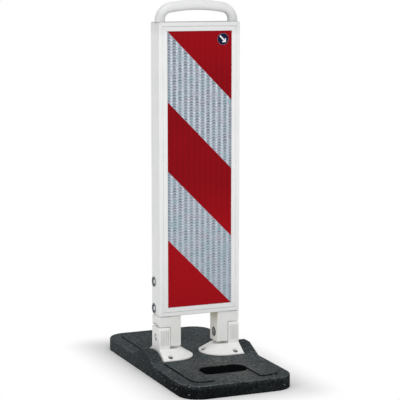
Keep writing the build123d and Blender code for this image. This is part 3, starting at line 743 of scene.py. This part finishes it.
def rubbed_edges_and_highlight(tree, place, upward, cloud, edge):
    """Mask of the rounded rim and of sharp edges, worn pale in places, with a painted highlight."""
    rounded = product(tree, mask(tree, upward, *ROUND_FROM), mask(tree, upward, *ROUND_TO))
    rim = product(tree, rounded, mask(tree, place["Z"], *RUBBED_HIGHLIGHT_LEVELS))
    return product(tree, largest(tree, rim, edge), mask(tree, cloud, *RUBBED_HIGHLIGHT_CLOUDS))


print("dry patch", 2 * DRY_REACH, "m across")


# %% Granulate finish
GRAIN_DARK = grey(0.006, 0.0068, 0.0072)
GRAIN_LIGHT = grey(0.045, 0.054, 0.058)
GRAIN_CHIP = grey(0.45, 0.48, 0.47)
BASE_DUST = grey(0.139, 0.16, 0.168)
BASE_DRY = grey(0.205, 0.213, 0.21)
BASE_RUBBED_HIGHLIGHT = grey(0.17, 0.19, 0.195)
BASE_SHADE = grey(0.0015, 0.0018, 0.002)
GRAIN_SIZE, CHIP_SIZE = 4.5, 9.0
FRONT_END = (-0.12, -0.3)
CHIP_RARE, CHIP_ROUND, CHIP_FRONT = (0.88, 0.9), (0.22, 0.14), 0.06
SPECK_HEIGHT, SPECK_SHARE = (0.5, 0.3), 0.6
RUBBED_HIGHLIGHT_SHARE, SHADE_SHARE, CHIP_SHARE = 0.45, 0.9, 0.8
GRAIN_DOME, GRANULATE_RELIEF = -0.8, 0.5
GRANULATE_ROUGHNESS = (0.7, 0.95)


def cells(tree, size):
    """Cells with a size in mm: the numbers that each one draws, and the distance from its middle."""
    pattern = add(tree, "TexVoronoi", {"Vector": spot_of(tree), "Scale": 1 / (size * MM)}).outputs
    return add(tree, "SeparateColor", {0: pattern["Color"]}).outputs, pattern["Distance"]


def pale_chips(tree, front, slot):
    """Mask of the few round pale chips, more of them at the front end and none in the slot."""
    draws, apart = cells(tree, CHIP_SIZE)
    rare = mask(tree, maths(tree, "MULTIPLY_ADD", front, CHIP_FRONT, draws[1]), *CHIP_RARE)
    bare = maths(tree, "SUBTRACT", 1.0, slot)
    return product(tree, rare, mask(tree, apart, *CHIP_ROUND), bare)


def granulate_finish():
    """Dark grains with pale chips, dust on top, worn edges with a painted highlight, and painted shade."""
    material, tree, shader = new_material("granulate", Specular_IOR_Level=0.02)
    place, facing = place_of(tree), facing_of(tree)
    draws, apart = cells(tree, GRAIN_SIZE)
    skin = use_group(tree, grain_group, Grain_Size=2.2, Cloud_Size=24.0)
    edge = use_group(tree, edge_group, Radius=4.0)
    front = mask(tree, place["Y"], *FRONT_END)
    slot = slot_wall(tree, place, facing["Z"])
    rubbed_highlight = rubbed_edges_and_highlight(tree, place, facing["Z"], skin["Cloud"], edge["Edge"])
    dark = dark_places(tree, place, facing["Z"], skin["Cloud"], slot)
    speck = product(tree, mask(tree, skin["Height"], *SPECK_HEIGHT), SPECK_SHARE)
    colour = tint(tree, draws[0], GRAIN_DARK, GRAIN_LIGHT)
    # Edges worn pale, with a painted highlight
    colour = over(tree, colour, BASE_RUBBED_HIGHLIGHT, rubbed_highlight, RUBBED_HIGHLIGHT_SHARE)
    dusty = tint(tree, dry_patch(tree), BASE_DUST, BASE_DRY)
    colour = tint(tree, road_dust(tree, place, facing, front), colour, dusty)
    colour = tint(tree, speck, colour, GRAIN_DARK)
    # Painted shade in corners, the slot and the deck step, and the walls darker near the ground
    colour = over(tree, colour, BASE_SHADE, dark, SHADE_SHARE)
    colour = over(tree, colour, GRAIN_CHIP, pale_chips(tree, front, slot), CHIP_SHARE)
    rough = spread(tree, skin["Cloud"], *GRANULATE_ROUGHNESS)
    height = maths(tree, "MULTIPLY_ADD", apart, GRAIN_DOME, skin["Height"])
    bump = relief(tree, height, GRANULATE_RELIEF, edge["Normal"])
    fill(tree, shader, Base_Color=colour, Roughness=rough, Normal=bump)
    return material


granulate = granulate_finish()
print("granulate with", len(granulate.node_tree.nodes), "nodes")

# %% [markdown]
# ## Metal, bush, lining and inner plastic
# Screws, bolts, nuts, washers and springs are zinc plated, with the cool sheen and the cloudy blotches
# of a plated part. Every metal piece is painted darker and rougher where it sits in a recess, as painted
# shade, and the foot screws and the lock nuts take a darker, rougher copy of the zinc: aged plating with
# painted shade. The bush is bronze, the friction lining a dark pressed fibre, the cups and the inner
# pieces plain moulded plastic.
# Few of them show, but they do when the board is folded.

# %% Zinc and bronze
METAL_SHADE, METAL_SHADE_SHARE = grey(0.03, 0.032, 0.032), 0.85
METAL_CLOUDS = (0.3, 0.7)
METAL_RELIEF = 0.01


def metal_finish(name, bright, dull, smooth, rough):
    """Metal with cloudy blotches, duller where it is rougher, and painted shade where it sits in a recess."""
    material, tree, shader = new_material(name, Metallic=1.0)
    blotch = use_group(tree, grain_group, Grain_Size=0.25, Cloud_Size=4.0)
    edge = use_group(tree, edge_group, Radius=0.4)
    dirt_and_shade = use_group(tree, corner_shade_group, Reach=9.0, Open=0.9, Deep=0.35)["Shelter"]
    share = mask(tree, blotch["Cloud"], *METAL_CLOUDS)
    # Painted shade where the metal sits in a recess
    colour = over(tree, tint(tree, share, bright, dull), METAL_SHADE, dirt_and_shade, METAL_SHADE_SHARE)
    rough = largest(tree, spread(tree, share, smooth, rough), dirt_and_shade)
    bump = relief(tree, blotch["Height"], METAL_RELIEF, edge["Normal"])
    fill(tree, shader, Base_Color=colour, Roughness=rough, Normal=bump)
    return material


# A darker, rougher copy of the zinc for the screws and nuts that sit in pockets: aged plating with painted shade
ZINC_AGED_SHADED, ZINC_AGED_SHADED_DEEP = grey(0.34, 0.36, 0.36), grey(0.13, 0.14, 0.14)
zinc = metal_finish("zinc", grey(0.66, 0.7, 0.72), grey(0.46, 0.5, 0.53), smooth=0.22, rough=0.42)
aged_shaded_zinc = metal_finish("aged_shaded_zinc", ZINC_AGED_SHADED, ZINC_AGED_SHADED_DEEP, smooth=0.35, rough=0.6)
bronze = metal_finish("bronze", grey(0.56, 0.36, 0.15), grey(0.36, 0.22, 0.09), smooth=0.3, rough=0.5)
print("metal finishes:", zinc.name, aged_shaded_zinc.name, bronze.name)

# %% Plain plastics and lining
ROUGHNESS_SPAN = 0.15


def plain_finish(name, first, second, grain, rough, gloss=0.35):
    """Matt moulded or pressed piece with a cloud of two near colours."""
    material, tree, shader = new_material(name, Specular_IOR_Level=gloss)
    skin = use_group(tree, grain_group, Grain_Size=0.8, Cloud_Size=14.0)
    edge = use_group(tree, edge_group, Radius=0.6)
    colour = tint(tree, skin["Cloud"], first, second)
    rough = spread(tree, skin["Cloud"], rough, rough + ROUGHNESS_SPAN)
    bump = relief(tree, skin["Height"], grain, edge["Normal"])
    fill(tree, shader, Base_Color=colour, Roughness=rough, Normal=bump)
    return material


PRINT_BLUE, PRINT_BLUE_PALE = grey(0.004, 0.006, 0.03), grey(0.007, 0.01, 0.042)
PRINT_WHITE, PRINT_WHITE_PALE = grey(0.8, 0.8, 0.82), grey(0.86, 0.86, 0.87)
CUP_GREY, CUP_GREY_PALE = grey(0.13, 0.14, 0.145), grey(0.22, 0.235, 0.24)
lining = plain_finish("lining", grey(0.06), grey(0.1, 0.095, 0.09), grain=0.15, rough=0.75)
cup_dark = plain_finish("cup_dark", CUP_GREY, CUP_GREY_PALE, grain=0.05, rough=0.45)
inner_grey = plain_finish("inner_grey", grey(0.4), grey(0.48), grain=0.05, rough=0.5)
board_white = plain_finish("board_white", grey(0.7), grey(0.76), grain=0.03, rough=0.5)
sticker_blue = plain_finish("sticker_blue", PRINT_BLUE, PRINT_BLUE_PALE, grain=0.01, rough=0.3,
                            gloss=0.08)
sticker_white = plain_finish("sticker_white", PRINT_WHITE, PRINT_WHITE_PALE, grain=0.01, rough=0.35)
nylon = plain_finish("nylon", grey(0.7, 0.72, 0.74), grey(0.78, 0.8, 0.8), grain=0.02, rough=0.35)
print("plain finishes ready")

# %% [markdown]
# ## Give every solid its finish
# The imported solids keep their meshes. Only the material in their slots changes, chosen by the longest
# start of the node's name that the list knows.

# %% Finish of each node
FINISH = {
    "base_plate": granulate, "base_inserts": zinc, "foot_left": foot_white, "foot_right": foot_white,
    "foot": aged_shaded_zinc, "leg": leg_white, "pivot": zinc, "pivot_bushes": bronze, "friction": lining,
    "post": post_white, "rail": rail_white, "corner": inner_grey, "brace": inner_grey,
    "board": board_white, "handle": handle_white, "round_sticker": sticker_blue, "side": zinc,
    "side_cups": cup_dark, "film_red": film_red, "film_white": film_white, "bead": rail_white,
    "bead_front_left": post_white, "bead_front_right": post_white,
    "bead_back_left": post_white, "bead_back_right": post_white,
}


def finish_of(name):
    """Material for a node, by the longest start of its name."""
    starts = [start for start in FINISH if name.startswith(start)]
    return FINISH[max(starts, key=len)]


for name, solid in nodes.items():
    solid.data.materials.clear()
    solid.data.materials.append(finish_of(name))
print("finished", len(nodes), "nodes in", len({finish_of(name).name for name in nodes}), "materials")

# %% [markdown]
# ## Screws, bolts and lock nuts
# A hexagon head is never a plain prism. Its corners are turned off to a cone and its face is slightly
# dished. One list of rings describes a fastener from end to end, and a skin joins each ring to the next.
# A ring is a circle, or a hexagon whose corners lean back along that cone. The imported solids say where
# each fastener sits, so they are split into their separate boxes first.

# %% Boxes of the separate solids in a node
SAME_POINT = 0.002 * MM


def separate_boxes(name):
    """Lowest and highest corner of each solid of a node, in a fixed order."""
    form = bmesh.new()
    form.from_mesh(nodes[name].data)
    bmesh.ops.remove_doubles(form, verts=form.verts[:], dist=SAME_POINT)
    left = set(form.verts)
    boxes = []
    while left:
        batch = [left.pop()]
        found = []
        while batch:
            vertex = batch.pop()
            found.append(vertex.co.copy())
            fresh = {edge.other_vert(vertex) for edge in vertex.link_edges} & left
            left -= fresh
            batch += fresh
        sides = list(zip(*found))
        boxes.append((Vector([min(side) for side in sides]), Vector([max(side) for side in sides])))
    form.free()
    return sorted(boxes, key=lambda box: tuple(box[0]))


screw_boxes = separate_boxes("foot_screws")
bolt_boxes = separate_boxes("side_bolts")
nut_boxes = separate_boxes("pivot_nuts")
print(len(screw_boxes), "foot screws,", len(bolt_boxes), "side bolts,", len(nut_boxes), "lock nuts")

# %% Rings and skins
RING_POINTS = 72
CORNER_CONE = math.tan(math.radians(30))
FACE_SHARE = 0.96
RING_ANGLES = [2 * math.pi * step / RING_POINTS for step in range(RING_POINTS)]


def circle(radius, height):
    """Round ring."""
    return [(radius * math.cos(angle), radius * math.sin(angle), height) for angle in RING_ANGLES]


def hexagon(flats, height, lean):
    """Six-sided ring. Lean 1 drops its corners along the cone, -1 lifts them and 0 keeps it flat."""
    ring = []
    for angle in RING_ANGLES:
        reach = flats / 2 / math.cos(angle % (math.pi / 3) - math.pi / 6)
        drop = (reach - FACE_SHARE * flats / 2) * CORNER_CONE
        ring.append((reach * math.cos(angle), reach * math.sin(angle), height - lean * drop))
    return ring


def skin(form, rings, seat, closed=False):
    """Join rings end to end, closed to a loop or with a cap at both ends."""
    layers = [[form.verts.new(seat @ Vector(point)) for point in ring] for ring in rings]
    pairs = list(zip(layers, layers[1:] + layers[:1]))
    for low, high in pairs if closed else pairs[:-1]:
        for here in range(RING_POINTS):
            there = (here + 1) % RING_POINTS
            form.faces.new((low[here], low[there], high[there], high[here]))
    if not closed:
        form.faces.new(layers[0])
        form.faces.new(layers[-1])


# %% Seats and finished pieces
SHARP_EDGE = math.radians(28)


def seat_at(place, out):
    """Matrix that puts a fastener's seat at a place, with its head towards out and its corners level."""
    level = Vector((0, 1, 0)) if out.x else Vector((1, 0, 0))
    turn = Matrix((level, out.cross(level), out)).transposed()
    return Matrix.Translation(place) @ turn.to_4x4()


def outer_side(low, high):
    """Middle of a box, the side of the object that it is on, and its end on that side."""
    middle = (low + high) / 2
    side = math.copysign(1, middle.x)
    return middle, side, high.x if side > 0 else low.x


def new_piece(name, form, material, body):
    """Object from a finished form, smooth except at its sharp edges, on its body."""
    bmesh.ops.recalc_face_normals(form, faces=form.faces[:])
    for face in form.faces:
        face.smooth = True
    for edge in form.edges:
        edge.smooth = edge.calc_face_angle(math.pi) < SHARP_EDGE
    mesh = bpy.data.meshes.new(name)
    form.to_mesh(mesh)
    form.free()
    mesh.materials.append(material)
    piece = new_object(name, mesh)
    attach(piece, body)
    return piece


# %% Hexagon screws and bolts
TIP_CHAMFER = 1.0 * MM
FACE_DISH = 0.25 * MM
DISH_RIM, DISH_FLOOR = 0.66, 0.6
SCREW_HEAD, SCREW_SHANK = 5.3 * MM, 8.0 * MM
BOLT_HEAD, BOLT_SHANK = 6.4 * MM, 10.0 * MM


def screw_rings(flats, head, shank, length):
    """Rings from the tip of the shank to the dished face of the head, with the seat at height 0."""
    face = FACE_SHARE * flats / 2
    return [circle(shank / 2 - TIP_CHAMFER, -length), circle(shank / 2, TIP_CHAMFER - length),
            circle(shank / 2, 0), hexagon(flats, 0, 0), hexagon(flats, head, 1), circle(face, head),
            circle(face * DISH_RIM, head), circle(face * DISH_FLOOR, head - FACE_DISH)]


form = bmesh.new()
for low, high in screw_boxes:
    middle = (low + high) / 2
    seat = seat_at(Vector((middle.x, middle.y, high.z - SCREW_HEAD)), Vector((0, 0, 1)))
    length = high.z - SCREW_HEAD - low.z
    skin(form, screw_rings(high.y - low.y, SCREW_HEAD, SCREW_SHANK, length), seat)
foot_screws = new_piece("hex_foot_screws", form, aged_shaded_zinc, "base")
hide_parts("foot_screws")

form = bmesh.new()
for low, high in bolt_boxes:
    middle, side, outer = outer_side(low, high)
    seat = seat_at(Vector((outer - side * BOLT_HEAD, middle.y, middle.z)), Vector((side, 0, 0)))
    length = high.x - low.x - BOLT_HEAD
    skin(form, screw_rings(high.z - low.z, BOLT_HEAD, BOLT_SHANK, length), seat)
side_bolts = new_piece("hex_side_bolts", form, zinc, "beacon")
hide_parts("side_bolts")
print("screws and bolts have", len(foot_screws.data.vertices) + len(side_bolts.data.vertices), "points")

# %% Lock nuts with their nylon rings
NUT_BORE = 6.1 * MM
NUT_BODY = 7.4 * MM
COLLAR = 9.0 * MM
COLLAR_ROLL = 0.7 * MM
RING_ROOM = 8.1 * MM
RING_SEAT = 8.2 * MM


def nut_rings(flats, height):
    """Closed loop of rings: hexagon below, rolled collar above, and a groove for the nylon ring."""
    face = FACE_SHARE * flats / 2
    return [circle(NUT_BORE, 0), circle(face, 0), hexagon(flats, 0, -1), hexagon(flats, NUT_BODY, 1),
            circle(face, NUT_BODY), circle(COLLAR, NUT_BODY), circle(COLLAR, height - COLLAR_ROLL),
            circle(COLLAR - COLLAR_ROLL, height), circle(RING_ROOM, height), circle(RING_ROOM, RING_SEAT),
            circle(NUT_BORE, RING_SEAT)]


steel, plastic = bmesh.new(), bmesh.new()
for low, high in nut_boxes:
    middle, side, outer = outer_side(low, high)
    seat = seat_at(Vector((outer, middle.y, middle.z)), Vector((-side, 0, 0)))
    height = high.x - low.x
    skin(steel, nut_rings(high.z - low.z, height), seat, closed=True)
    top = height - COLLAR_ROLL / 2
    skin(plastic, [circle(NUT_BORE, RING_SEAT), circle(RING_ROOM, RING_SEAT), circle(RING_ROOM, top),
                   circle(NUT_BORE, top)], seat, closed=True)
lock_nuts = new_piece("lock_nuts", steel, aged_shaded_zinc, "base")
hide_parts("pivot_nuts")
new_piece("lock_nut_rings", plastic, nylon, "base")
print("lock nuts have", len(lock_nuts.data.vertices), "points")

# %% [markdown]
# ## Print on the sticker
# The round sticker carries a plain white arrow that points down to the side on which traffic passes,
# inside a thin white rim. Print has hardly any thickness, but a painted pattern would blur at this size,
# so arrow and rim are thin shapes that lie on the disc. The arrow is one outline, mirrored about its axis.

# %% Arrow and rim
PRINT_THICKNESS = 0.06 * MM
ARROW_HALF = [(-0.78, 0.13), (0.36, 0.13), (0.15, 0.34), (0.28, 0.47), (0.76, 0.0)]
ARROW_TURN = math.radians(-45)
RIM_OUTER, RIM_INNER = 0.98, 0.967
sticker_low, sticker_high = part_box("round_sticker")
sticker_radius = (sticker_high.x - sticker_low.x) / 2
sticker_middle = (sticker_low + sticker_high) / 2
sticker_seat = seat_at(Vector((sticker_middle.x, sticker_low.y, sticker_middle.z)), Vector((0, -1, 0)))
downhill = Matrix.Rotation(ARROW_TURN, 4, "Z")

form = bmesh.new()
arrow = ARROW_HALF + [(along, -across) for along, across in reversed(ARROW_HALF[:-1])]
flat = [Vector((along, across, 0)) * sticker_radius for along, across in arrow]
lift = Vector((0, 0, PRINT_THICKNESS))
low = [form.verts.new(sticker_seat @ downhill @ point) for point in flat]
high = [form.verts.new(sticker_seat @ downhill @ (point + lift)) for point in flat]
form.faces.new(low)
form.faces.new(high)
for here in range(len(arrow)):
    there = (here + 1) % len(arrow)
    form.faces.new((low[here], low[there], high[there], high[here]))
radii = [RIM_INNER, RIM_OUTER, RIM_OUTER, RIM_INNER]
heights = [0, 0, PRINT_THICKNESS, PRINT_THICKNESS]
skin(form, [circle(radius * sticker_radius, height) for radius, height in zip(radii, heights)],
     sticker_seat, closed=True)
new_piece("sticker_print", form, sticker_white, "beacon")
print("sticker radius", round(sticker_radius / MM, 1), "mm")

# %% [markdown]
# ## Floor and light
# The object stands on a pale floor under soft light from all round, as in a packshot. A broad lamp in
# front and above shapes it, weaker ones come from the left and from the top, and the sky does the rest.
# What the camera and the reflections see of the sky is plain white, while the sky lights the object more
# gently. The floor keeps the shadow beside the base and turns plain white further out.

# %% Floor
FLOOR_RADIUS, FLOOR_POINTS = 9.0, 96
FLOOR_PALE = grey(0.93)
PURE_WHITE = grey(1.0)
SHADOW_REACH = 0.18


def seen_rays(tree):
    """1 for what the camera sees, straight or in gloss and glass, and 0 for the light on the object."""
    path = add(tree, "LightPath").outputs
    return largest(tree, path["Is Camera Ray"], path["Is Glossy Ray"], path["Is Transmission Ray"])


def beside_base(tree):
    """Distance of a point on the floor from the rectangle of the base."""
    place = place_of(tree)
    beyond = []
    for label, half in zip("XY", cad_box[1]):
        apart = maths(tree, "SUBTRACT", gap(tree, place[label]), half)
        beyond.append(largest(tree, apart, 0.0))
    return slant(tree, *beyond)


def floor_finish():
    """Pale floor that keeps the shadow beside the base and is plain white to the camera further out."""
    material, tree, _ = new_material("floor_white", Base_Color=FLOOR_PALE, Roughness=0.9,
                                     Specular_IOR_Level=0.0)
    clear = product(tree, seen_rays(tree), mask(tree, beside_base(tree), 0.0, SHADOW_REACH))
    white = add(tree, "Emission", {"Color": PURE_WHITE, "Strength": 1.0}).outputs[0]
    end = [node for node in tree.nodes if node.type == "OUTPUT_MATERIAL"][0]
    matt = end.inputs["Surface"].links[0].from_socket
    both = add(tree, "MixShader", {0: clear, 1: matt, 2: white}).outputs[0]
    connect(tree, end.inputs["Surface"], both)
    return material


floor_mesh = bpy.data.meshes.new("floor")
form = bmesh.new()
bmesh.ops.create_circle(form, cap_ends=True, radius=FLOOR_RADIUS, segments=FLOOR_POINTS)
form.to_mesh(floor_mesh)
form.free()
floor_mesh.materials.append(floor_finish())
floor = new_object("floor", floor_mesh)
print("floor", 2 * FLOOR_RADIUS, "m across")

# %% Sky and lamps
SKY_LEVEL = 0.55


def make_sky():
    """White sky for the camera and reflections, gentler as a light."""
    world = bpy.data.worlds.new("studio")
    world.use_nodes = True
    tree = world.node_tree
    tree.nodes.clear()
    light = add(tree, "Background", {"Color": PURE_WHITE, "Strength": SKY_LEVEL}).outputs[0]
    white = add(tree, "Background", {"Color": PURE_WHITE, "Strength": 1.0}).outputs[0]
    both = add(tree, "MixShader", {0: seen_rays(tree), 1: light, 2: white}).outputs[0]
    add(tree, "OutputWorld", {"Surface": both})
    bpy.context.scene.world = world


def make_lamp(name, place, aim, size, power):
    """Square soft lamp that points at a place on the object."""
    data = bpy.data.lights.new(name, "AREA")
    data.size = size
    data.energy = power
    lamp = new_object(name, data)
    lamp.location = place
    lamp.rotation_euler = (Vector(aim) - Vector(place)).to_track_quat("-Z", "Y").to_euler()


make_sky()
make_lamp("front_lamp", place=(-0.4, -4.6, 2.6), aim=(0, 0, 0.6), size=2.4, power=72)
make_lamp("left_lamp", place=(-4.2, -1.2, 2.0), aim=(0, 0, 0.6), size=2.0, power=32)
make_lamp("top_lamp", place=(0, -0.8, 4.4), aim=(0, 0, 0.4), size=2.2, power=24)
print("sky level", SKY_LEVEL, "and 3 lamps")
